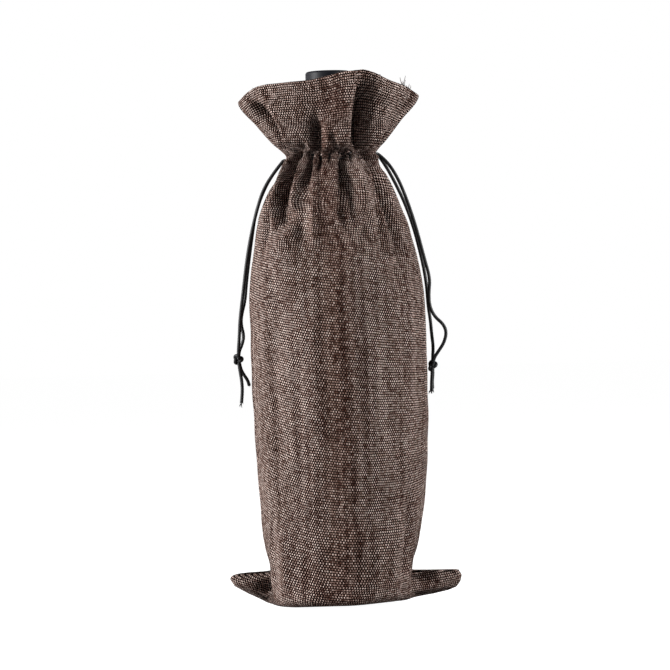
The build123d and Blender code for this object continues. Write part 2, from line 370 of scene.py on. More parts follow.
def burlap_material():
    """Plain weave of slubby flecked yarn: upright and level yarns pass over each other in turn."""
    n = Nodes("burlap_weave")
    cloth = n.add("UVMap", uv_map="cloth").outputs[0]
    split = n.add("SeparateXYZ")
    n.link(cloth, split.inputs[0])
    across, along, _ = split.outputs
    # The yarns wander a little from their straight lines.
    warp_noise = n.noise(cloth, WARP_WANDER[0], 1.0)
    weft_noise = n.noise(n.combine(along, across, 0.37), WEFT_WANDER[0], 1.0)
    u = n.scaled(warp_noise, WARP_WANDER[1], n.math("DIVIDE", across, WARP_PITCH))
    v = n.scaled(weft_noise, WEFT_WANDER[1], n.math("DIVIDE", along, WEFT_PITCH))
    u_cell = n.math("FLOOR", u)
    v_cell = n.math("FLOOR", v)
    hump_u = n.math("SINE", n.times(n.math("SUBTRACT", u, u_cell), math.pi))
    hump_v = n.math("SINE", n.times(n.math("SUBTRACT", v, v_cell), math.pi))
    # Each yarn rises over every second yarn it meets and is round across itself; the higher one shows.
    over = n.math("MODULO", n.math("ABSOLUTE", n.math("ADD", u_cell, v_cell)), 2.0)
    sign = n.scaled(over, 2.0, -1.0)
    weft_wave = n.times(n.times(hump_u, sign), -WEAVE_WAVE)
    warp_wave = n.times(n.times(hump_v, sign), WEAVE_WAVE)
    weft_top = n.scaled(n.math("POWER", hump_v, 0.9), YARN_ROUND, weft_wave)
    warp_top = n.scaled(n.math("POWER", hump_u, 0.9), YARN_ROUND, warp_wave)
    # Upright stripes, and one wide one down the middle of the cloth: there the upright yarns stand prouder.
    stripes = n.noise(n.combine(n.times(across, STRIPE_SCALES[0]), n.times(along, STRIPE_SCALES[1])), 1.0)
    from_stripe = n.math("DIVIDE", n.math("SUBTRACT", across, STRIPE_PLACE), STRIPE_WIDTH)
    stripe = n.math("POWER", 2.0, n.times(n.times(from_stripe, from_stripe), -1.0))
    proud = n.scaled(stripes, STRIPE_PROUD, n.times(stripe, WIDE_STRIPE_PROUD))
    warp_top = n.math("ADD", n.math("SUBTRACT", warp_top, WARP_SUNK), proud)
    height = n.math("MAXIMUM", weft_top, warp_top)
    warp_shows = n.math("GREATER_THAN", warp_top, weft_top)
    # Patches of darker yarn, lighter yarn in the stripes, and the colour darker down the wide one.
    broad = n.scaled(n.noise(cloth, PATCH_SCALE), *PATCH_CHANGE)
    broad = n.math("ADD", broad, n.scaled(stripes, *STRIPE_CHANGE))
    broad = n.scaled(stripe, WIDE_STRIPE_DARK, broad)
    # Colour along each yarn: mixed dark and light fibres, the level yarns lighter than the upright ones.
    warp_place = n.combine(n.times(u_cell, 7.31), n.times(v, 0.5))
    weft_place = n.combine(n.times(u, 0.24), n.times(v_cell, 5.77), 3.1)
    colours = []
    for place, stops in ((warp_place, WARP_COLOURS), (weft_place, WEFT_COLOURS)):
        fleck = n.scaled(n.noise(place, *FLECK_NOISE), *FLECK_CHANGE)
        colours.append(n.ramp(n.math("ADD", fleck, broad), stops))
    warp_colour, weft_colour = colours
    yarn = n.mix(warp_shows, weft_colour, warp_colour)
    fibre = n.noise(n.combine(n.times(u, 0.6), v, 9.0), 5.0)
    yarn = n.mix(n.times(fibre, FIBRE_SHARE), yarn, FIBRE_COLOUR)
    # Painted shade: the gaps between the crowns of the yarns are darkened by the yarns' height, standing in for
    # the shadow the yarns cast on each other.
    crown = n.add("MapRange", interpolation_type="SMOOTHSTEP")
    n.link(height, crown.inputs["Value"])
    set_inputs(crown, {"From Min": 0.57, "From Max": 0.84})
    relief = n.bump(n.scaled(fibre, FIBRE_PROUD, height), RELIEF, 1.0)
    return n.surface(n.mix(crown.outputs["Result"], GAP_SHADE, yarn), n.scaled(fibre, 0.15, 0.76), relief,
                     {"Specular IOR Level": 0.02})


def cord_material():
    """Black braided cord with a slight wax shine."""
    n = Nodes("black_cord")
    fibre = n.noise(n.place(), 2600.0)
    patch = n.noise(n.place(), 260.0)
    return n.surface(n.mix(patch, srgb(7, 7, 8), srgb(19, 19, 21)), n.scaled(patch, 0.2, 0.42),
                     n.bump(fibre, 0.00006, 0.6), {"Specular IOR Level": 0.28})


def foil_material():
    """Dark blue-black satin foil, faintly brushed where it was shrunk on."""
    n = Nodes("capsule_foil")
    stretch = n.add("Mapping")
    set_inputs(stretch, {"Scale": (1.0, 1.0, 0.12)})
    n.link(n.place(), stretch.inputs["Vector"])
    streak = n.noise(stretch.outputs[0], 900.0, 3.0)
    cloud = n.noise(n.place(), 120.0)
    relief = n.bump(n.scaled(cloud, 0.8, n.times(streak, 0.4)), 0.00012, 0.5)
    return n.surface(n.mix(cloud, srgb(10, 10, 14), srgb(19, 20, 26)), n.scaled(streak, 0.18, 0.42), relief,
                     {"Specular IOR Level": 0.16})


def plain_material(name, noise, colours, roughness, relief=None, coat=0.0):
    """A material whose colour, roughness and relief all follow one noise."""
    n = Nodes(name)
    grain = n.noise(n.place(), *noise)
    colour = n.ramp(grain, colours) if len(colours) > 2 else n.mix(grain, *colours)
    normal = n.bump(grain, *relief) if relief else None
    return n.surface(colour, n.scaled(grain, *roughness), normal, {"Coat Weight": coat})


BURLAP = burlap_material()
CORD = cord_material()
FOIL = foil_material()
THREAD = plain_material("sewing_thread", (2200.0,), (srgb(38, 27, 23), srgb(86, 68, 60)), (0.2, 0.6),
                        (0.00006, 0.6))
GLASS = plain_material("bottle_glass", (60.0, 1.0), (srgb(24, 40, 20), srgb(34, 52, 28)), (0.04, 0.06),
                       (0.0004, 0.3), coat=0.5)
CORK = plain_material("natural_cork", (700.0, 4.0, 0.7),
                      [(0.3, srgb(96, 62, 36)), (0.5, srgb(176, 134, 92)), (0.7, srgb(205, 166, 124))],
                      (0.2, 0.7), (0.0003, 0.6))
WINE = plain_material("red_wine", (30.0, 1.0), (srgb(40, 4, 12), srgb(62, 8, 20)), (0.05, 0.05))

make_camera()
make_lights()
make_floor()


# ---------------------------------------------------------------- cords

CORD_DIAMETER = 2.0
CORD_STEP = 0.28             # between the rings of a cord's mesh
EXITS = {"left": (-28.3, 267.3), "right": (28.3, 269.8)}  # X and Z of the gaps in the side seams
EXIT_HALF_SPACING = 1.5      # a cord's two ends leave this far in front of and behind the seam

# Each cord from the gap in the side seam, through its knot, to its cut end.
ROUTES = {
    "left_front_cord": [
        (-28.3, -1.5, 267.3), (-34.4, -1.7, 260.2), (-41.4, -2, 249.4), (-45.6, -2.2, 236),
        (-48.8, -2.4, 224), (-51.9, -2.3, 208.6), (-54.8, -2.1, 188), (-57, -1.9, 173),
        (-57.7, -1.6, 162), (-58.6, -1.2, 153.2), (-58.5, -1.1, 147.4), (-57.9, -1.2, 142.4),
        (-56.9, -1.3, 135.8), (-56.7, -1.2, 129), (-57.5, -1.1, 122.8),
    ],
    "left_back_cord": [
        (-28.3, 1.5, 267.3), (-34, 1.7, 261), (-40.6, 2, 250.4), (-46, 2.1, 236.4),
        (-48.2, 2.2, 224), (-50.7, 2.3, 208.6), (-52.8, 2.2, 193.5), (-53.7, 2, 184),
        (-56, 1.7, 176), (-56.6, 1.5, 170), (-54.9, 1.4, 163), (-56.2, 1.3, 157.8),
        (-58.4, 1.2, 153.2), (-58.2, 1.1, 147.6), (-57.4, 1.3, 143), (-55.4, 1.4, 139.2),
        (-53.2, 1.4, 136), (-52.6, 1.3, 133),
    ],
    "right_front_cord": [
        (28.3, -1.5, 269.8), (33.4, -1.6, 265.8), (39.8, -1.8, 255.6), (45.4, -2.1, 241),
        (50.2, -2.4, 224.8), (54.3, -2.5, 207.2), (57.6, -2.4, 194.4), (56.6, -2.3, 186),
        (56.7, -2.2, 178), (59.6, -2, 171.4), (65, -1.8, 166.6), (66.6, -1.6, 161.4),
        (64.8, -1.4, 155.4), (61.6, -1.3, 150.8), (58.6, -1.2, 146.6), (57.4, -1.1, 140.4),
        (57.2, -1.2, 136.4), (56.8, -1.3, 131.8), (56.6, -1.2, 126.6),
    ],
    "right_back_cord": [
        (28.3, 1.5, 269.8), (32.6, 1.6, 263.4), (37.4, 1.8, 254.4), (43.8, 2.1, 240.4),
        (48.8, 2.3, 225.2), (52, 2.4, 211.4), (54.2, 2.4, 200.4), (55.6, 2.3, 189.4),
        (56, 2.1, 178.6), (57.2, 1.8, 169.6), (57.7, 1.6, 161), (58.5, 1.4, 153.4),
        (57.9, 1.2, 146.6), (57.8, 1.1, 140.4), (57.8, 1.2, 136.6), (57.2, 1.3, 132.4),
        (57.4, 1.2, 128.4),
    ],
}
STANDS_FOR = {
    "left_front_cord": ("left_front_strand", "left_long_tail"),
    "left_back_cord": ("left_back_strand", "left_short_tail"),
    "right_front_cord": ("right_front_strand", "right_long_tail"),
    "right_back_cord": ("right_back_strand", "right_short_tail"),
}
# How many fibres come loose at each cord's cut end, and how far; one is cut nearly flat.
FRAYS = {
    "left_front_cord": (12, 1.5),
    "left_back_cord": (8, 0.35),
    "right_front_cord": (12, 1.2),
    "right_back_cord": (10, 1.1),
}
# Centre, half width and half height of each knot.
KNOTS = {
    "left": ((-58.9, 0.0, 149.0), 3.5, 3.5),
    "right": ((57.6, 0.0, 142.2), 3.0, 4.4),
}


def route_line(name):
    """The points along a cord's smooth line, in millimetres."""
    curve = bpy.data.curves.new(name + "_route", "CURVE")
    curve.dimensions = "3D"
    spline = curve.splines.new("NURBS")
    spline.points.add(len(ROUTES[name]) - 1)
    for point, place in zip(spline.points, ROUTES[name]):
        point.co = (*(c * MM for c in place), 1)
    spline.order_u = 3
    spline.use_endpoint_u = True
    spline.resolution_u = 16
    carrier = in_scene(name + "_route", curve)
    line = bpy.data.meshes.new_from_object(carrier)
    points = np.array([tuple(v.co) for v in line.vertices]) / MM
    bpy.data.objects.remove(carrier)
    bpy.data.meshes.remove(line)
    return points


def even_line(points, step):
    """The same line with points a step apart, and its length."""
    length = lengths_along(*points.T)
    count = max(4, int(round(length[-1] / step)) + 1)
    at = np.linspace(0, length[-1], count)
    return np.stack([np.interp(at, length, points[:, k]) for k in range(3)], axis=1), length[-1]


def directions(line):
    """The unit direction of a line at each of its points."""
    ahead = np.gradient(line, axis=0)
    return ahead / np.linalg.norm(ahead, axis=1)[:, None]


def frames_along(line):
    """Two directions across the line at each of its points, turning as little as can be."""
    tangent = directions(line)
    side = np.cross(tangent[0], (0, 1, 0.2))
    side /= np.linalg.norm(side)
    sides = []
    for t in tangent:
        side = side - t * side.dot(t)
        side /= np.linalg.norm(side)
        sides.append(side)
    sides = np.array(sides)
    return sides, np.cross(tangent, sides)


BRAID_STRANDS = 8            # crowns round the cord
BRAID_PITCH = 3.2            # length over which a braided strand goes once round
BRAID_DEPTH = 0.07           # share of the radius
FLARE_LENGTH = 0.8           # over which a cord widens towards its cut end
END_DOME = 0.35              # height of the dome at a cord's end, as a share of its radius
AROUND = 20                  # points round a cord
FIBRE_SIDES = 4
FIBRE_STEP = 0.3             # least distance between the rings of a fibre's mesh
KNOT_POINTS = 181            # along the cord in a knot
KNOT_THICKNESS = 0.98        # of the cord in the knot, as a share
KNOT_DEPTH = 0.62            # share of its width that the knot reaches to the front and back
KNOT_TILT = 28               # degrees
END_FLARE = 0.05             # share by which a cord is wider at its cut end
FRAY_SPREAD = 0.5            # how far a loose fibre leans away from the cord's direction
FRAY_PLACE = 0.45            # how far across the cut end its root is spread
FRAY_SUNK = 0.4              # how far back from the cut end its root lies
FRAY_BEND = 0.15
FRAY_LENGTHS = (0.5, 1.2)    # shares of the reach given for the cord
FRAY_WIDTHS = (0.16, 0.3)


def braided_tube(line, radius, end_flare=0.0):
    """Rings of points round a line, their surface lumpy with two sets of crossing strands."""
    across, other = frames_along(line)
    length = lengths_along(*line.T)
    angle = np.linspace(0, 2 * math.pi, AROUND, endpoint=False)
    rings = []
    for i, centre in enumerate(line):
        twist = 4 * math.pi * length[i] / BRAID_PITCH
        one = np.cos(angle * BRAID_STRANDS / 2 + twist)
        two = np.cos(angle * BRAID_STRANDS / 2 - twist)
        lump = 1 + BRAID_DEPTH * (np.maximum(one, two) - 0.5)
        flare = 1 + end_flare * np.exp(-(length[-1] - length[i]) / FLARE_LENGTH)
        r = radius * lump * flare
        rings.append(centre + np.outer(r * np.cos(angle), across[i]) + np.outer(r * np.sin(angle), other[i]))
    return np.concatenate(rings)


def closed_tube(line, radius, end_flare=0.0):
    """The braided tube's points and faces, with both ends closed by a low dome."""
    verts = list(braided_tube(line, radius, end_flare))
    faces = grid_faces(len(line), AROUND, closed=True)
    for end, inner, start in ((0, 1, 0), (-1, -2, (len(line) - 1) * AROUND)):
        onward = line[end] - line[inner]
        verts.append(line[end] + onward / np.linalg.norm(onward) * radius * END_DOME)
        tip = len(verts) - 1
        for k in range(AROUND):
            edge = (start + k, start + (k + 1) % AROUND)
            faces.append((*(edge if end else edge[::-1]), tip))
    return verts, faces


def add_fibre(verts, faces, points, width):
    """A thin fibre through a few points, added to a list of points and one of faces."""
    line, _ = even_line(np.array(points), max(FIBRE_STEP, width))
    across, other = frames_along(line)
    first = len(verts)
    for i, p in enumerate(line):
        thin = width * (1 - 0.5 * i / (len(line) - 1))
        for k in range(FIBRE_SIDES):
            a = 2 * math.pi * k / FIBRE_SIDES
            verts.append(p + across[i] * thin * math.cos(a) + other[i] * thin * math.sin(a))
    for quad in grid_faces(len(line), FIBRE_SIDES, closed=True):
        faces.append(tuple(first + q for q in quad))
    faces.append(tuple(first + k for k in reversed(range(FIBRE_SIDES))))
    faces.append(tuple(len(verts) - FIBRE_SIDES + k for k in range(FIBRE_SIDES)))


def frayed_end(rng, name, line, count, reach):
    """Loose fibres at a cord's cut end."""
    onward = directions(line)[-1]
    verts, faces = [], []
    for _ in range(count):
        away = rng.normal(0, FRAY_SPREAD, 3)
        start = line[-1] + rng.normal(0, FRAY_PLACE, 3) - onward * FRAY_SUNK
        end = start + (onward + away) * reach * rng.uniform(*FRAY_LENGTHS)
        middle = (start + end) / 2 + rng.normal(0, FRAY_BEND, 3)
        add_fibre(verts, faces, [start, middle, end], rng.uniform(*FRAY_WIDTHS))
    return mesh_object(name, verts, faces, CORD)


def make_knot(side):
    """An overhand knot: the cord's own loops drawn tight into a lump."""
    centre, half_width, half_height = KNOTS[side]
    radius = CORD_DIAMETER / 2 * KNOT_THICKNESS
    room = half_width - radius
    spread = room / 3.0
    t = np.linspace(0, 2 * math.pi, KNOT_POINTS)
    x = (np.sin(t) + 2 * np.sin(2 * t)) * spread
    y = -np.sin(3 * t) * room * KNOT_DEPTH
    z = (np.cos(t) - 2 * np.cos(2 * t)) * spread * half_height / half_width
    tilt = Matrix.Rotation(math.radians(KNOT_TILT), 3, "Y")
    line = (np.stack([x, y, z], axis=1) @ np.array(tilt).T + np.array(centre))[:-1]
    last = (len(line) - 1) * AROUND
    closing = [(last + k, last + (k + 1) % AROUND, (k + 1) % AROUND, k) for k in range(AROUND)]
    obj = mesh_object(side + "_tied_knot", braided_tube(line, radius),
                      grid_faces(len(line), AROUND, closed=True) + closing, CORD)
    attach(obj, side + "_knot_end")
    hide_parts(side + "_knot")
    return obj


def make_cords():
    rng = np.random.default_rng(SEED)
    knots = {side: make_knot(side) for side in KNOTS}
    for name, nodes in STANDS_FOR.items():
        side = name.split("_")[0]
        line, length = even_line(route_line(name), CORD_STEP)
        obj = mesh_object(name, *closed_tube(line, CORD_DIAMETER / 2, END_FLARE), CORD)
        fray = frayed_end(rng, name + "_fray", line, *FRAYS[name])
        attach(fray, side + "_knot_end")
        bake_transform(obj)
        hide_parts(*nodes)


make_cords()


# ---------------------------------------------------------------- the cloth's shape

FLAT_HALF = 73.0             # half the width of the flat bag
NECK = 269.5                 # height of the tightest gather
COLLAR_LOW = 276.0           # above this, rows spread evenly up to the rim

# Height, left and right extent, front and back depth of the filled bag.
OUTLINE = np.array([
    (0, 40.6, 39.4, 38.2, 38.2),
    (5, 41.6, 41, 38.9, 38.9),
    (22, 42.7, 42.4, 39.4, 39.4),
    (39, 44.9, 46.1, 40, 40),
    (56, 46.6, 49.3, 40.4, 40.4),
    (76, 48, 51.8, 40.6, 40.6),
    (96, 49.1, 53, 40.6, 40.6),
    (123, 50, 53.8, 40.5, 40.5),
    (153, 50.4, 54, 40.3, 40.3),
    (183, 50.4, 53.2, 40, 40),
    (207, 47.7, 49.6, 39.2, 39.2),
    (231, 43.4, 42.4, 36.8, 36.8),
    (245, 38.2, 37.2, 33, 33),
    (256, 32.3, 32.2, 28.4, 28.4),
    (264, 27.4, 27.4, 23.8, 23.8),
    (269, 26.6, 26.8, 22.6, 22.6),
    (272, 29, 28.6, 23, 23),
    (277, 34.6, 33.4, 24.8, 24.4),
    (288, 43.8, 42.6, 28.4, 27.6),
    (302, 54.6, 54, 31.5, 30.5),
    (322, 56.5, 56, 33.5, 32.5),
])

# Height of the rim against X, at the front and at the back.
RIM = {
    -1: [(-54.5, 301.6), (-47.5, 307.4), (-40.2, 310.4), (-30, 310.9), (-12, 311.6), (0, 313.8), (10, 316.2),
         (19, 316.9), (26, 315.6), (36, 311.4), (44, 308.6), (53.4, 303.2)],
    1: [(-54.5, 301.6), (-44, 305.0), (-28, 309.5), (-8, 310.6), (12, 308.4), (30, 307.5), (44, 305.6),
        (53.4, 303.2)],
}


def sections(heights):
    """Middle in X, half width, front depth and back depth at each height."""
    left, right, front, back = (smooth_curve(heights, OUTLINE[:, 0], OUTLINE[:, k]) for k in range(1, 5))
    return (right - left) / 2, (right + left) / 2, front, back


# A fold is (line, height, left, right, fade at start, fade at end, sharpness), and for a fold that widens
# also the share that it widens by. Its line is points (X, Z) as seen from straight in front. Its height is
# outward, and negative for a valley. Left and right are its half widths. A low sharpness makes a crease,
# a high one a flat-bottomed trough.
FRONT_FOLDS = [
    # The open collar
    ([(-23.2, 271), (-27.4, 284), (-34.4, 298), (-42.4, 312)], 3.8, 2.8, 8, 8, 6, 1.4),
    ([(-26, 270), (-31, 281), (-38.6, 292), (-48, 303)], -12, 4.2, 2, 5, 12, 1.4),
    ([(-8.4, 273), (-8.8, 282), (-8, 300), (-8.2, 316)], -2.6, 5.5, 6, 5, 30, 1.6),
    ([(-8.4, 270), (-8.9, 280), (-9.6, 293)], -9.5, 2.6, 3.2, 3, 11, 1.6),
    ([(-16.2, 270), (-17, 280)], -3, 1.6, 1.8, 3, 7, 1.6),
    ([(3, 270), (2, 279), (0.5, 286)], -3.4, 1.9, 2, 3, 9, 1.6),
    ([(9.4, 271), (9.9, 286), (12.4, 304), (16, 322)], 3.6, 8, 2.4, 6, 8, 1.5),
    ([(15.4, 268), (15.9, 282), (18, 298), (22.6, 320)], -19, 2.4, 7.8, 6, 26, 2.8),
    ([(27.6, 272), (30.6, 286), (35.5, 300), (40, 312)], 2.2, 2.6, 5, 5, 16, 1.5),
    ([(28.5, 270), (31.5, 281), (34, 288)], -2.6, 1.8, 2.2, 3, 10, 1.6),
    # Pleats under the gather
    ([(-18.6, 273), (-21.4, 265), (-25, 256), (-28.6, 244), (-32, 220)], -9.5, 1.5, 2.2, 4, 34, 1.4, 0.6),
    ([(-12.3, 273), (-12.8, 264), (-13.8, 256), (-15.2, 244)], -7.6, 1.7, 1.9, 4, 16, 1.4, 0.6),
    ([(-7, 272), (-7.2, 265), (-7.6, 256)], -5.5, 1.5, 1.9, 3, 9, 1.4, 0.5),
    ([(6.8, 273), (7, 262), (6.4, 252), (4.8, 238)], -8.6, 2, 3, 4, 20, 1.4, 1),
    ([(6, 256), (4.6, 240), (1, 216)], -2.6, 4, 5, 14, 22, 1.4, 0.5),
    ([(21.6, 273), (24.6, 264), (29.8, 252), (35, 236), (40.4, 218), (44, 196)],
     -13.5, 2.4, 2.9, 4, 30, 1.5, 1.1),
    ([(-24.8, 271), (-29.2, 262), (-35.4, 249), (-40.6, 232), (-43.4, 204)], -9, 2, 2.6, 3, 26, 1.5, 1),
    ([(12.6, 272), (13, 266), (13.4, 258)], -3.2, 1.2, 1.4, 3, 7, 1.5, 0.4),
    ([(17, 272), (18.6, 265), (20.4, 254)], -3.2, 1.2, 1.6, 3, 9, 1.5, 0.6),
    ([(-0.6, 272), (-0.8, 267), (-1.6, 258)], -3, 1.3, 1.5, 3, 8, 1.5, 0.6),
    ([(-15.4, 269), (-18.2, 258), (-21.6, 244), (-24.2, 220)], 5.2, 1.8, 2.4, 5, 26, 1.5, 1.3),
    ([(-22, 270), (-24.6, 263), (-28.8, 253), (-32.8, 241), (-36.4, 222)], 5.4, 2.6, 1.6, 5, 22, 1.5, 0.9),
    ([(-2.6, 266), (-3, 254), (-4.4, 238), (-7, 210)], 3, 3.2, 2.6, 5, 28, 1.5, 0.9),
    ([(13.6, 268), (15.6, 256), (18.4, 240), (21, 210)], 5.6, 2.8, 3.4, 5, 36, 1.4, 1.2),
    ([(24.8, 270), (29.4, 262), (35.6, 251), (42.6, 236), (48, 212)], 4.6, 1.7, 2.4, 5, 30, 1.5, 0.7),
    ([(-9.4, 270), (-9.7, 254), (-10.4, 232), (-11.6, 204)], 4, 2.6, 1.3, 5, 26, 1.3, 0.8),
    ([(10.8, 262), (12, 250), (12.4, 234), (11, 216)], -3.4, 1.6, 2.4, 6, 18, 1.4, 1.2),
    ([(25, 254), (27.6, 240), (28.6, 220), (27, 196)], -3.6, 2.2, 3, 10, 26, 1.4, 0.8),
    ([(-33.4, 258), (-40, 246), (-45, 230), (-48, 208)], 3, 1.6, 1.8, 8, 20, 1.5, 0.6),
    # Soft folds under the shoulder of the bag
    ([(-38.8, 222.5), (-29, 229.5), (-18, 237)], -5, 5, 2.4, 8, 8, 1.3),
    ([(-36, 214), (-26, 221), (-17.5, 226.5)], 2.6, 4.6, 4.6, 8, 8, 1.6),
    ([(-17, 236), (-18.6, 218), (-19, 200)], -1, 2.6, 3.4, 12, 18, 1.5),
    ([(0.5, 240), (5, 229), (8.6, 217)], -2.6, 2.6, 4.2, 8, 9, 1.4),
    ([(24, 243), (20, 228), (13, 212)], -4, 3, 4.4, 10, 12, 1.5),
    ([(44, 222), (39, 206), (35, 182)], -3.6, 3.4, 4.8, 10, 20, 1.5),
    ([(-44, 214), (-38, 196), (-35, 176)], -1.2, 4, 5, 14, 20, 1.6),
    # Long planes of the body over the bottle
    ([(-13, 212), (-13.6, 150), (-13.8, 60), (-14.2, 14)], 2.1, 9, 4, 20, 24, 1.15),
    ([(1, 214), (1.4, 150), (1.4, 60), (1.2, 14)], 0.8, 4, 10, 20, 24, 1.15),
    ([(-33.5, 210), (-35, 150), (-37, 46)], -1.2, 5, 9, 30, 20, 1.5),
    ([(38, 196), (40, 150), (41, 50)], -1, 8, 5, 30, 30, 1.5),
    # The corners drawn down to the ears
    ([(-39.5, 62), (-40.6, 34), (-40.6, 12)], -1.3, 2.6, 3.4, 24, 6, 1.4),
    ([(-33.5, 56), (-34, 30), (-33.6, 8)], 2, 3.4, 6, 24, 6, 1.5),
    ([(-22.5, 52), (-21.5, 30), (-21, 6)], -1.8, 6, 7, 24, 5, 1.5),
    ([(41.5, 72), (40, 40), (37.6, 14)], -3.6, 3.8, 4.2, 26, 8, 1.5),
    ([(36, 60), (33, 34), (30, 12)], 0.9, 3, 3.4, 20, 8, 1.5),
]


def back_folds():
    """Pleats round the back of the neck and the soft planes below them."""
    rng = np.random.default_rng(SEED + 4)
    folds = []
    place = -23.0
    while place < 23.5:
        spread = rng.uniform(1.35, 1.7)
        reach = rng.uniform(208, 246)
        deep = rng.uniform(3.6, 6.6)
        wide = rng.uniform(1.6, 2.3)
        drift = rng.uniform(-1.5, 1.5)
        valley = [(place, 273), (place * 1.06, 265), (place * 1.25, 254), (place * spread + drift, reach)]
        folds.append((valley, -deep, wide, wide * rng.uniform(0.9, 1.4), 4, rng.uniform(18, 30), 1.35, 1.2))
        step = rng.uniform(5.4, 9.0)
        crest = place + step / 2
        ridge = [(crest, 268), (crest * 1.22, 254), (crest * spread, reach - 6)]
        folds.append((ridge, rng.uniform(2.0, 3.4), step * 0.4, step * 0.4, 5, 26, 1.5, 1.1))
        place += step
    folds += [
        ([(-19, 270), (-27, 286), (-34, 300), (-38, 316)], -7.0, 4.0, 4.0, 5, 8, 1.7),
        ([(-12, 270), (-15, 286), (-20, 300), (-23, 316)], 2.4, 5.0, 6.0, 5, 6, 1.5),
        ([(-3, 271), (-3, 286), (-2, 300)], -5.0, 3.0, 3.4, 4, 14, 1.5),
        ([(9, 270), (12, 286), (16, 300), (18, 316)], 3.0, 6.0, 5.0, 5, 6, 1.5),
        ([(18, 270), (24, 286), (31, 300), (35, 316)], -8.5, 3.6, 4.6, 5, 8, 2.0),
        ([(30, 208), (14, 226), (4, 232)], -1.8, 3.6, 4.0, 12, 10, 1.5),
        ([(-30, 214), (-20, 200), (-6, 192)], -1.2, 4.6, 4.0, 12, 14, 1.6),
        ([(12.0, 212), (11.0, 150), (10.0, 40)], 1.2, 6.0, 9.0, 20, 30, 1.2),
        ([(-10.0, 212), (-9.0, 150), (-9.0, 40)], 1.2, 10.0, 5.0, 20, 30, 1.2),
        ([(-36.0, 206), (-38.0, 150), (-38.0, 60)], -0.9, 7.0, 8.0, 40, 20, 1.6),
    ]
    return folds


def puckers(seed):
    """Short tight pleats along the drawn casing, as folds."""
    rng = np.random.default_rng(seed)
    folds = []
    place = -24.5
    while place < 25:
        top = rng.uniform(272, 277)
        low = rng.uniform(257, 264)
        lean = rng.uniform(-0.8, 0.8)
        deep = rng.uniform(1.6, 3.2)
        line = [(place * (1 + (top - 270) * 0.018), top), (place, 269), (place * 1.06 + lean, low)]
        folds.append((line, -deep, rng.uniform(0.8, 1.2), rng.uniform(0.8, 1.2), 4, 6, 1.6))
        place += rng.uniform(2.6, 4.4)
    return folds


# Ears: the flat bag's corners. Each has a lower and an upper edge, as (X, Z) outward, the height of its
# crest as a share, a hollow (X, Z, width, height, share taken off) and the thickness of its upper lip.
EARS = {
    -1: dict(lower=[(39, -3), (41.4, 0.2), (45.1, 1.2), (50, 3.9), (56.8, 7.4), (64.6, 12.2),
                    (67.4, 16.8)],
             upper=[(38, 23.6), (43.4, 21.2), (50, 20.8), (59, 20.5), (64, 19.7), (66.4, 18.6),
                    (67.4, 16.8)],
             crest=0.40, hollow=(44, 11.5, 6, 4.8, 0.98), lip=0.9),
    1: dict(lower=[(38, -3), (41, 0.2), (44, 0.8), (54.6, 2.5), (63.7, 4.7), (68.5, 7), (70.9, 11.2),
                   (71.8, 15.6)],
            upper=[(37, 22.8), (42.5, 19), (49.6, 19.2), (56, 21.4), (61.7, 22.3), (66.5, 21.2),
                   (70, 18.7), (71.8, 15.6)],
            crest=0.26, hollow=(48, 14, 10, 4.2, 0.86), lip=2.6),
}
EAR_THICK = 8.5
EAR_ROOT = 41.0              # where an ear starts to thin towards its tip
EAR_TOP = 25.0               # no ear reaches higher
EAR_SAMPLES = 240            # points across an ear while its row is worked out
EAR_IN = (30, 8)             # an ear comes in from this X, over this length
LIP_BELOW = 1.6              # how far the lip's thickest line lies below the upper edge
LIP_WIDTH = 1.5
TIP_FADE = 6                 # length at the tip over which the lip dies out
APRON_DEPTH = 15.0           # how far out the wall's foot still stands where it runs on into an ear
APRON_REACH = 9.0
APRON_FLAT = 35              # X up to which it stands out in full
APRON_IN = (26, 8)
APRON_OUT = (12.0, 9.0)      # the height at which it ends, and the length over which it dies out
APRON_ROUND = 7.0            # length at the end of a row over which the foot is rounded off
EAR_CLOTH = 50.0             # cloth further out than this goes into an ear
BASE_ROUND = 4.5             # how the wall curves under the bottle
NECK_CLEAR = 16.0            # the cloth's least distance from the bottle's axis at the neck
CASING_CLEAR = 1.4           # how much more where the cords run inside
BOTTLE_CLEAR = 0.8           # the cloth's least distance from the glass above the wall
CLEAR_FROM = 200.0           # above this height, the cloth is kept clear of the bottle
# Height and radius of the bottle's shoulder when it is lifted as far as it goes.
LIFTED_BOTTLE = np.array([(210.0, 36.8), (218.0, 35.9), (224.5, 33.5), (229.8, 30.0), (234.5, 26.1),
                          (239.0, 22.1), (243.8, 18.5), (249.3, 15.8), (256.0, 14.6)])
# Height, and the power of the curve across a panel: 0.5 is an ellipse, and a higher one is more pointed.
ROUNDNESS = np.array([(250, 0.5), (268, 0.54), (290, 0.78), (302, 0.84)])
# Height, and how sharply the wall meets an ear.
FOOT_SHARPNESS = np.array([(0, 0.35), (6, 0.4), (14, 0.9)])
MOST_POWER = 60              # keeps the exponentials that join the two within what a number holds
SEAM_SWELL = {-1: 0.9, 1: 0.2}  # less at the back, to leave room for the cords
SEAM_BESIDE = 2.2            # how far from the seam the swelling is highest
SAMPLES = 1600               # points across a panel while its row is worked out
COLUMNS = 140                # points across a panel in its mesh
SEAM_TOP = 302.0             # height of the rim at the side seams
skin_noise = noise_table(np.random.default_rng(SEED + 2), 9)
for ear in EARS.values():
    ear["lower"], ear["upper"] = np.array(ear["lower"]), np.array(ear["upper"])


def ear_edge(side_x, z):
    """How far out an ear reaches at a height; 0 where there is none."""
    low, high = EARS[side_x]["lower"], EARS[side_x]["upper"]
    if z <= low[0, 1] or z >= high[0, 1]:
        return 0.0
    if z <= low[-1, 1]:
        return float(np.interp(z, low[:, 1], low[:, 0]))
    return float(np.interp(-z, -high[:, 1], high[:, 0]))


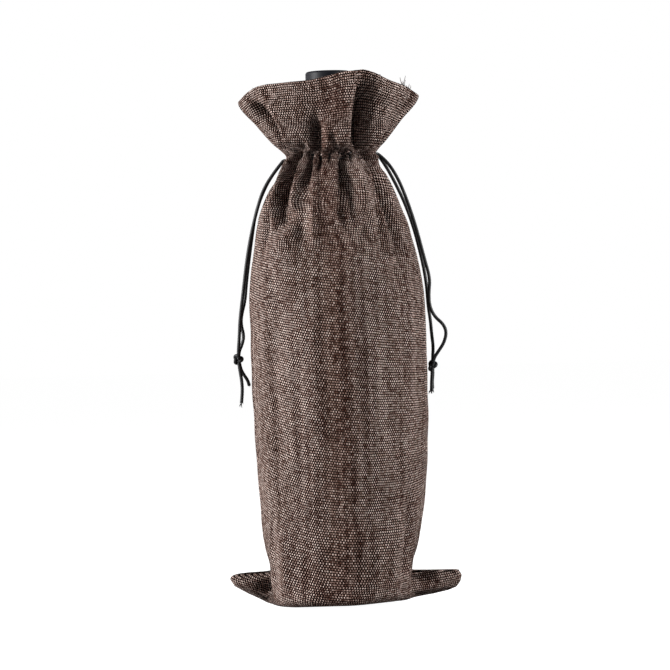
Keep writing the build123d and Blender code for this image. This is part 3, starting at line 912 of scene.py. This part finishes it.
def ear_depth(side_x, out, z):
    """Half the thickness of an ear, at distances out from the middle and one height."""
    ear = EARS[side_x]
    bottom = np.interp(out, *ear["lower"].T)
    top = np.interp(out, *ear["upper"].T)
    share = np.clip((z - bottom) / np.maximum(top - bottom, 0.01), 0, 1)
    crest = ear["crest"]
    bowed = np.where(share < crest, share / crest, (1 - share) / (1 - crest))
    swell = np.sin(bowed * math.pi / 2) ** 0.8
    tip = ear["lower"][-1, 0]
    taper = np.clip((tip - out) / (tip - EAR_ROOT), 0, 1) ** 0.6
    place, height, wide, tall, deep = ear["hollow"]
    hollow = 1 - deep * bell((z - height) / tall) * bell((out - place) / wide)
    lip = ear["lip"] * bell((top - z - LIP_BELOW) / LIP_WIDTH) * fade_out(out, tip, TIP_FADE)
    lip = lip * (share > 0) * (share < 1)
    return EAR_THICK * taper * swell * hollow + lip


def section_line(side, z):
    """Points across one panel at a height, from the left seam to the right."""
    middle, half, front, back = (float(v) for v in sections(z))
    depth = front if side < 0 else back
    if z < BASE_ROUND:
        tuck = BASE_ROUND * (1 - math.sqrt(max(0.0, 1 - (1 - z / BASE_ROUND) ** 2)))
        depth -= tuck
        half -= tuck
    x = middle + half * np.sin(np.linspace(-math.pi / 2, math.pi / 2, SAMPLES))
    reach = [max(half + middle * side_x, ear_edge(side_x, z)) for side_x in (-1, 1)]
    if z < EAR_TOP:
        left_x = np.linspace(-reach[0], middle - half, EAR_SAMPLES, endpoint=False)
        right_x = np.linspace(middle + half, reach[1], EAR_SAMPLES + 1)[1:]
        x = np.concatenate([left_x, x, right_x])
    power = float(np.interp(z, *ROUNDNESS.T))
    body = depth * np.clip(1 - ((x - middle) / half) ** 2, 0, 1) ** power
    if z >= EAR_TOP:
        return x, side * body, middle, half
    out = np.abs(x)
    ear = np.where(x < 0, ear_depth(-1, -x, z), ear_depth(1, x, z)) * fade_in(out, *EAR_IN)
    # The wall's foot spreads into the ears, rounded off towards the end of the row.
    end = np.clip((np.where(x < 0, *reach) - out) / APRON_ROUND, 0, 1)
    apron = APRON_DEPTH * bell(np.maximum(out - APRON_FLAT, 0) / APRON_REACH)
    apron *= fade_out(z, *APRON_OUT) * fade_in(out, *APRON_IN) * np.sqrt(1 - (1 - end) ** 2)
    ear = np.maximum(ear, apron)
    sharp = float(np.interp(z, *FOOT_SHARPNESS.T))
    both = sum(np.exp(np.minimum(depth * sharp, MOST_POWER)) for depth in (body, ear)) - 1
    return x, side * np.log(both) / sharp, middle, half


def from_middle(x, y):
    """Length along a row, counted from where it crosses X = 0."""
    arc = lengths_level(x, y)
    return arc - np.interp(0.0, x, arc)


def on_cloth(side, fold):
    """A fold with its line in cloth lengths, in place of X, and cut into short steps."""
    line, height, left, right, fade_start, fade_end, sharpness = fold[:7]
    spread = fold[7] if len(fold) > 7 else 0.0
    points = []
    for place, z in line:
        x, y, _, _ = section_line(side, float(min(z, SEAM_TOP)))
        points.append((float(np.interp(place, x, from_middle(x, y))), z))
    points = np.array(points)
    length = lengths_along(*points.T)
    at = np.linspace(0, length[-1], max(4, int(length[-1] / FOLD_STEP)))
    points = np.stack([smooth_curve(at, length, points[:, k]) for k in range(2)], axis=1)
    if points[0, 1] < points[-1, 1]:
        left, right = right, left
    return points, at, height, left, right, fade_start, fade_end, sharpness, spread


def fold_height(fold, arc, z):
    """How far one fold moves the cloth outward at points of it, by cloth length and height."""
    points, at, height, left, right, fade_start, fade_end, sharpness, spread = fold
    reach = 3 * max(left, right) * (1 + spread)
    if z.min() > points[:, 1].max() + reach or z.max() < points[:, 1].min() - reach:
        return 0.0
    best = np.full(len(arc), FAR)
    signed = np.zeros(len(arc))
    along = np.zeros(len(arc))
    for i in range(len(points) - 1):
        step = points[i + 1] - points[i]
        size = np.linalg.norm(step)
        step = step / size
        px = arc - points[i, 0]
        pz = z - points[i, 1]
        held = np.clip(px * step[0] + pz * step[1], 0, size)
        away = np.hypot(px - held * step[0], pz - held * step[1])
        near = away < best
        best = np.where(near, away, best)
        signed = np.where(near, px * step[1] - pz * step[0], signed)
        along = np.where(near, at[i] + held, along)
    wide = np.where(signed > 0, left, right) * (1 + spread * along / at[-1])
    strength = fade_in(along, 0, fade_start) * fade_out(along, at[-1], fade_end)
    return height * strength * np.exp(-np.abs(best / wide) ** sharpness)


FOLD_STEP = 6.0              # between the points of a fold's line
FAR = 1e9                    # a distance greater than any
FOLDS = {-1: [on_cloth(-1, f) for f in FRONT_FOLDS + puckers(SEED + 5)],
         1: [on_cloth(1, f) for f in back_folds() + puckers(SEED + 6)]}
COLUMN_CLOTH = np.linspace(-FLAT_HALF, FLAT_HALF, COLUMNS)
EAR_START = 0.985            # share of the half width at which the cloth of the ears begins
EVEN_FROM = (24.0, 34.0)     # from this height up, and over this length, the columns spread evenly again
EDGE_FADE = 6.0              # the folds die out over this length at a seam
SWELL_WIDTH = 1.1
SWELL_IN = (24, 10)          # heights between which the seam swells, each with the length of its fade
SWELL_OUT = (268, 6)
FINE_LUMPS = (0.35, 24.0)    # height and size of the cloth's unevenness
BROAD_LUMPS = (0.5, 60.0)
LUMPS_IN = (2, 12)
CLEAR_IN = (240, 20)
CASING_HALF = 5.0            # how far above and below the gather the casing makes room


def column_places(x, length, middle, half, z):
    """Where along a row each column of cloth lies: evenly, but with the last of it in the ears."""
    even = (COLUMN_CLOTH + FLAT_HALF) / (2 * FLAT_HALF) * length[-1]
    eared_share = 1 - fade_in(z, *EVEN_FROM)
    if eared_share <= 0:
        return even
    left, right = (float(np.interp(middle + half * EAR_START * sign, x, length)) for sign in (-1, 1))
    borders = [-FLAT_HALF, -EAR_CLOTH, EAR_CLOTH, FLAT_HALF]
    eared = np.interp(COLUMN_CLOTH, borders, [0, left, right, length[-1]])
    return even + (eared - even) * eared_share


def collar_height(side, x, half, share):
    """The height of a collar row, a share of the way up to the rim, above points along a row."""
    table = np.array(RIM[side])
    rim = smooth_curve(x * table[-1, 0] / half, table[:, 0], table[:, 1])
    return COLLAR_LOW + share * (rim - COLLAR_LOW)


def row_heights(side, z, x, half, share):
    """The height of each point of a row: level, or rising to the rim in the collar."""
    return np.full_like(x, z) if share is None else collar_height(side, x, half, share)


def near_casing(z):
    """1 at the tightest gather, falling off above and below."""
    return bell((z - NECK) / CASING_HALF)


def panel_row(side, z, share=None):
    """One row of a panel's points. Above the gather, share is how far up the collar it is."""
    x, y, middle, half = section_line(side, z)
    arc = from_middle(x, y)
    size = np.hypot(np.gradient(x), np.gradient(y)) + TINY
    normal_x = np.sign(x - middle) * np.abs(np.gradient(y)) / size
    normal_y = side * np.abs(np.gradient(x)) / size
    edge = np.minimum(arc - arc[0], arc[-1] - arc)
    heights = row_heights(side, z, x, half, share)
    out = np.zeros_like(x)
    for fold in FOLDS[side]:
        out = out + fold_height(fold, arc, heights)
    out *= fade_in(edge, 0, EDGE_FADE)
    # The cloth swells a little on both sides of the sewn seam.
    swell = SEAM_SWELL[side] * bell((edge - SEAM_BESIDE) / SWELL_WIDTH)
    out += swell * fade_in(z, *SWELL_IN) * fade_out(z, *SWELL_OUT)
    lumps = FINE_LUMPS[0] * skin_noise(arc, heights * 0.7 + side * 50, FINE_LUMPS[1])
    lumps = lumps + BROAD_LUMPS[0] * skin_noise(heights * 0.5, arc, BROAD_LUMPS[1])
    out += lumps * fade_in(z, *LUMPS_IN) * fade_in(edge, 0, EDGE_FADE / 2)
    x = x + normal_x * out
    y = y + normal_y * out
    if z > CLEAR_FROM:
        radius = np.hypot(x, y)
        least = (NECK_CLEAR + CASING_CLEAR * near_casing(z)) * fade_in(z, *CLEAR_IN)
        least = max(least, np.interp(z, *LIFTED_BOTTLE.T) + BOTTLE_CLEAR)
        grow = np.where(radius < least, least / np.maximum(radius, 1e-6), 1.0)
        x, y = x * grow, y * grow
    y = np.where(side * y < 0, 0.0, y)
    y[0] = y[-1] = 0.0
    length = lengths_level(x, y)
    at = column_places(x, length, middle, half, z)
    x, y = np.interp(at, length, x), np.interp(at, length, y)
    return np.stack([x, y, row_heights(side, z, x, half, share)], axis=1)


BASE_ROWS = 16
COLLAR_ROWS = 40
WALL_HEIGHTS = np.concatenate([
    np.linspace(0.0, 4.5, 10), np.linspace(4.5, 16.0, 16)[1:], np.linspace(16.0, 26.0, 25)[1:],
    np.linspace(26.0, 200.0, 110)[1:], np.linspace(200.0, COLLAR_LOW, 72)[1:],
])
GROUND_CLEAR = 0.55          # height of the lowest cloth
LIFT_TOP = 18.0              # the bottom's lift dies out at this height
# How far the bottom lifts to the right, to the left and to the front and back, and the distances from the
# middle at which each lift starts, with the length over which it grows.
LIFTS = [(2.4, 2, 40), (0.8, 26, 16), (1.5, 14, 20)]


def panel_points(side):
    """The grid of a panel: rows under the base, up the wall, round the neck and up the collar."""
    lowest = panel_row(side, 0.0)
    rows = [lowest * (1, k, 1) for k in np.linspace(0, 1, BASE_ROWS)[:-1]]
    rows += [panel_row(side, float(z)) for z in WALL_HEIGHTS]
    for share in np.linspace(0, 1, COLLAR_ROWS)[1:]:
        rows.append(panel_row(side, COLLAR_LOW + float(share) * (SEAM_TOP - COLLAR_LOW), float(share)))
    points = np.array(rows)
    x, y, z = np.moveaxis(points, -1, 0)
    lift = sum(most * fade_in(place, start, length)
               for place, (most, start, length) in zip((x, -x, np.abs(y)), LIFTS))
    points[..., 2] = z + GROUND_CLEAR + lift * fade_out(z, LIFT_TOP, LIFT_TOP)
    return points


# How the level yarns run: their slope across the cloth, and how it changes away from the middle.
SKEW = [(0, 0.10), (27, 0.11), (63, 0.10), (117, 0.14), (171, 0.155), (205, 0.17), (240, 0.16), (276, 0.03),
        (322, 0.0)]
BOW = [(0, 0.0055), (63, 0.0055), (117, 0.0037), (171, 0.0012), (205, 0.0003), (240, 0.0), (322, 0.0)]
# Upright yarns lie closer in some stretches of the cloth than in others.
YARN_DENSITY = [(-73, 0.98), (-46, 0.98), (-34, 0.95), (-22, 0.88), (4, 0.87), (14, 0.96), (50, 1.0), (73, 1.0)]
EAR_DENSITY = 0.5            # extra share of yarns in the cloth that goes into an ear, where it is drawn out
EAR_DENSITY_OUT = (44.0, 30)  # the height at which that ends, and the length over which it fades


def cloth_coordinates(points, side):
    """Each point's place on the flat cloth."""
    s = COLUMN_CLOTH * (1 if side < 0 else -1)
    fine = np.linspace(-FLAT_HALF, FLAT_HALF, 400)
    total = np.cumsum(np.interp(fine, *np.array(YARN_DENSITY).T)) * (fine[1] - fine[0])
    centre = points[:, COLUMNS // 2]
    z = centre[:, 2][:, None]
    low = fade_out(z, *EAR_DENSITY_OUT)
    u = np.interp(s, fine, total) + low * EAR_DENSITY * np.sign(s) * np.maximum(np.abs(s) - EAR_CLOTH, 0)
    along = lengths_along(*centre.T)[:, None]
    skew = smooth_curve(z, *np.array(SKEW).T)
    bow = smooth_curve(z, *np.array(BOW).T)
    return u, along + skew * s - bow * s * s / 2


def make_panel(side, name):
    points = panel_points(side)
    u, v = cloth_coordinates(points, side)
    obj = mesh_object(name, points.reshape(-1, 3), grid_faces(len(points), COLUMNS, flip=side > 0), BURLAP)
    grid_uv(obj, u, v)
    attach(obj, "bag")
    return obj, points, u, v


front, front_points, front_u, front_v = make_panel(-1, "front_cloth")
back, back_points, back_u, back_v = make_panel(1, "back_cloth")
PANELS = {-1: front_points, 1: back_points}
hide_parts("front_panel", "left_side_seam", "bottom_seam")
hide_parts("back_panel", "right_side_seam")

# ---------------------------------------------------------------- the turned-in top

HEM_RADIUS = 0.9
HEM_STEPS = 7
FACING_LOW = 262.0
FACING_CLEAR = 15.1          # the lining's least distance from the bottle's axis
CASING_DEPTH = 1.5           # extra room between the two layers where the cords run


def outward(points):
    """The unit normal of a grid of points."""
    normal = np.cross(np.gradient(points, axis=1), np.gradient(points, axis=0))
    return normal / np.maximum(np.linalg.norm(normal, axis=2)[..., None], TINY)


def keep_clear(line, least):
    """Moves a line's points out to a least distance from the bottle's axis."""
    radius = np.hypot(line[:, 0], line[:, 1])
    line[:, :2] *= np.maximum(1.0, least / np.maximum(radius, 1e-6))[:, None]


def make_facing(side, name, u, v):
    """The panel's turned-in top: over the rim in a small round, then down inside the collar."""
    panel = PANELS[side]
    normal = outward(panel) * -side
    heights = panel[:, COLUMNS // 2, 2]
    low = int(np.argmin(np.abs(heights - FACING_LOW)))
    inner = []
    for row in range(len(panel) - 1, low - 1, -1):
        line = panel[row] - normal[row] * (2 * HEM_RADIUS + CASING_DEPTH * near_casing(heights[row]))
        keep_clear(line, FACING_CLEAR)
        inner.append(line)
    rim = panel[-1]
    middle, half = (rim + inner[0]) / 2, (rim - inner[0]) / 2
    rows = [rim]
    for a in np.linspace(0, math.pi, HEM_STEPS)[1:-1]:
        rows.append(middle + half * math.cos(a) + np.array([0, 0, 1]) * HEM_RADIUS * math.sin(a))
    points = np.array(rows + inner)
    step = np.linalg.norm(np.diff(points, axis=0), axis=2)
    down = np.concatenate([np.zeros((1, COLUMNS)), np.cumsum(step, axis=0)])
    obj = mesh_object(name, points.reshape(-1, 3), grid_faces(len(points), COLUMNS, flip=side > 0), BURLAP)
    grid_uv(obj, np.tile(u[-1], (len(points), 1)), v[-1] + down)
    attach(obj, "bag")
    return obj


front_facing = make_facing(-1, "front_collar_lining", front_u, front_v)
back_facing = make_facing(1, "back_collar_lining", back_u, back_v)
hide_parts("front_facing")
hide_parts("back_facing")

# ---------------------------------------------------------------- small things sewn to the cloth

HEM_CORD_CLEAR = 15.9        # the hidden cord's least distance from the bottle's axis
HEM_CORD_INSET = 1.35        # from the cloth to the hidden cord's middle
HEM_CORD_STEP = 0.6
STITCH_LENGTH = 2.3
STITCH_GAP = 0.7
STITCH_WIDTH = 0.26
STITCH_STEP = 0.15
STITCH_PROUD = 0.16          # how far out a row of stitches lies
STITCH_SINK = 0.3            # how far in a stitch's ends go


def level_row(panel, z):
    """A panel's points where it crosses a height, from left to right."""
    line = []
    for column in range(panel.shape[1]):
        heights = panel[:, column, 2]
        row = int(np.argmax(heights > z))
        t = (z - heights[row - 1]) / (heights[row] - heights[row - 1])
        line.append(panel[row - 1, column] * (1 - t) + panel[row, column] * t)
    return np.array(line)


def soften(line, times):
    """A line with its small kinks smoothed out, its ends kept."""
    for _ in range(times):
        line[1:-1] = (line[:-2] + 2 * line[1:-1] + line[2:]) / 4
    return line


def inset(line, side, amount):
    """A level line moved inward, by one amount or by one for each point."""
    along = np.gradient(line[:, :2], axis=0)
    size = np.hypot(along[:, 0], along[:, 1])[:, None]
    inward = np.stack([along[:, 1], -along[:, 0]], axis=1) / np.maximum(size, TINY) * side
    moved = line.copy()
    moved[:, :2] += inward * amount
    return moved


def make_casing_cord(side_name, node):
    """The cord's hidden part: from its exit all round the neck, inside the cloth, and back."""
    x, z = EXITS[side_name]
    rows = []
    for side, panel in PANELS.items():
        row = soften(inset(level_row(panel, z), side, HEM_CORD_INSET), 3)
        rows.append((row[::-1] if x > 0 else row)[3:-3])
    ends = [np.array([[x, y, z]]) for y in (-EXIT_HALF_SPACING, EXIT_HALF_SPACING)]
    line = np.concatenate([ends[0], rows[0], rows[1][::-1], ends[1]])
    line, _ = even_line(soften(line, 2), HEM_CORD_STEP)
    keep_clear(line, HEM_CORD_CLEAR)
    obj = mesh_object(side_name + "_cord_in_hem", *closed_tube(line, CORD_DIAMETER / 2), CORD)
    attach(obj, "bag")
    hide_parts(node)


make_casing_cord("left", "left_cord_in_casing")
make_casing_cord("right", "right_cord_in_casing")


def make_stitching(name, z, node):
    """A row of stitches through the cloth, right round the bag."""
    verts, faces = [], []
    for side, panel in PANELS.items():
        row, length = even_line(inset(level_row(panel, z), side, -STITCH_PROUD), STITCH_STEP)
        start = 1.0
        while start + STITCH_LENGTH < length - 1.0:
            first = int(start / STITCH_STEP)
            last = int((start + STITCH_LENGTH) / STITCH_STEP)
            piece = row[first:last + 1:3]
            rise = np.sin(np.linspace(0, math.pi, len(piece))) ** 0.4 * STITCH_SINK
            add_fibre(verts, faces, inset(piece, side, STITCH_SINK - rise[:, None]), STITCH_WIDTH)
            start += STITCH_LENGTH + STITCH_GAP
    obj = mesh_object(name, verts, faces, THREAD)
    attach(obj, "bag")
    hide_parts(node)


make_stitching("lower_stitching", 262.5, "lower_casing_stitching")
make_stitching("upper_stitching", 276.6, "upper_casing_stitching")

# Places along the rim with loose yarns: X, length and count. The first three are where it has come undone.
RIM_FRAYS = [(44.0, 5.6, 2), (45.4, 4.2, 2), (47.6, 2.8, 3), (30, 0.9, 3), (8, 0.8, 2), (-22, 0.8, 2),
             (-45, 0.9, 2)]


def make_rim_fray():
    """Loose yarns at the rim."""
    rng = np.random.default_rng(SEED + 8)
    verts, faces = [], []
    rim = front_points[-1]
    for place, reach, count in RIM_FRAYS:
        at = rim[int(np.argmin(np.abs(rim[:, 0] - place)))]
        for _ in range(count):
            start = at + np.array([rng.uniform(-0.8, 0.8), rng.uniform(0.2, 0.8), 0.4])
            lean = np.array([rng.uniform(-0.7, 0.5), rng.uniform(-0.4, 0.4), 1.0])
            top = start + lean * reach * rng.uniform(0.5, 1.0)
            bend = (start + top) / 2 + rng.normal(0, 0.12 * reach, 3)
            add_fibre(verts, faces, [start, bend, top], rng.uniform(0.2, 0.34))
    obj = mesh_object("rim_fray", verts, faces, THREAD)
    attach(obj, "bag")
    return obj


rim_fray = make_rim_fray()

# ---------------------------------------------------------------- the bottle

for node, material in (("capsule", FOIL), ("glass_bottle", GLASS), ("cork", CORK), ("wine_fill", WINE)):
    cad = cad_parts[node]
    cad.data.materials.clear()
    cad.data.materials.append(material)
